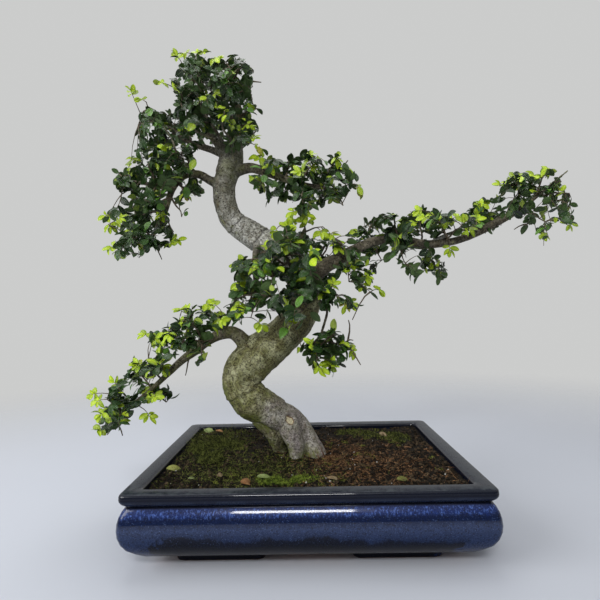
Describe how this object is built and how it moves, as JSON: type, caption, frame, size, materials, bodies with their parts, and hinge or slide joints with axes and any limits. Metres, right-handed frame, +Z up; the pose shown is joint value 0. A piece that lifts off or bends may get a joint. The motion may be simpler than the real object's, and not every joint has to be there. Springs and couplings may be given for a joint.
{
  "type": "chinese elm bonsai",
  "caption": "Chinese elm bonsai with a bent trunk on exposed roots, leafy shoots over twisting limbs, moss and soil, in a blue glazed rectangular pot on feet.",
  "frame": {"origin": "on the surface that the pot stands on, under the middle of the whole object's box", "axes": "+X to the right along the pot's length, +Y from the pot's front to its back, +Z up"},
  "size_m": [0.6302, 0.284, 0.5935],
  "materials": {
    "blue_glaze": "glossy cobalt and navy glaze with fine speckles and runs",
    "soil": "damp dark granular soil with bark bits and white grit",
    "bark": "grey and olive bark with cracks, lenticels and scars",
    "leaf": "small glossy serrated leaves on thin brown twigs, lighter where they are new",
    "moss": "soft green moss",
    "fallen_leaf": "dry curled leaf",
    "screen_mesh": "moulded black mesh",
    "clip_wire": "drawn wire"
  },
  "bodies": {
    "root": {"pot": "blue_glaze", "soil": "soil", "trunk": "bark", "left_drain_screen": "screen_mesh", "left_screen_clip": "clip_wire", "right_drain_screen": "screen_mesh", "right_screen_clip": "clip_wire", "front_moss": "moss", "left_moss": "moss", "right_moss": "moss", "yellow_fallen_leaf": "fallen_leaf", "brown_fallen_leaf": "fallen_leaf", "olive_fallen_leaf": "fallen_leaf", "crown_shoot_1": "leaf", "crown_shoot_2": "leaf", "crown_shoot_3": "leaf", "crown_shoot_4": "leaf", "crown_shoot_5": "leaf", "crown_shoot_6": "leaf", "crown_shoot_7": "leaf", "crown_shoot_8": "leaf", "shoulder_shoot_1": "leaf", "shoulder_shoot_2": "leaf", "shoulder_shoot_3": "leaf", "cascade_shoot_1": "leaf", "cascade_shoot_2": "leaf", "cascade_shoot_3": "leaf", "cascade_shoot_4": "leaf", "cascade_shoot_5": "leaf", "cascade_shoot_6": "leaf", "cascade_shoot_7": "leaf", "upper_pad_shoot_1": "leaf", "upper_pad_shoot_2": "leaf", "upper_pad_shoot_3": "leaf", "upper_pad_shoot_4": "leaf", "upper_pad_shoot_5": "leaf", "centre_shoot_1": "leaf", "centre_shoot_2": "leaf", "centre_shoot_3": "leaf", "centre_shoot_4": "leaf", "centre_shoot_5": "leaf", "centre_shoot_6": "leaf", "centre_shoot_7": "leaf", "centre_shoot_8": "leaf", "centre_shoot_9": "leaf", "long_limb_shoot_1": "leaf", "long_limb_shoot_2": "leaf", "long_limb_shoot_3": "leaf", "long_limb_shoot_4": "leaf", "long_limb_shoot_5": "leaf", "long_limb_shoot_6": "leaf", "long_limb_shoot_7": "leaf", "long_limb_shoot_8": "leaf", "lower_limb_shoot_1": "leaf", "lower_limb_shoot_2": "leaf", "lower_limb_shoot_3": "leaf", "lower_limb_shoot_4": "leaf", "lower_limb_shoot_5": "leaf", "lower_limb_shoot_6": "leaf", "droop_shoot_1": "leaf"}
  },
  "joints": []
}
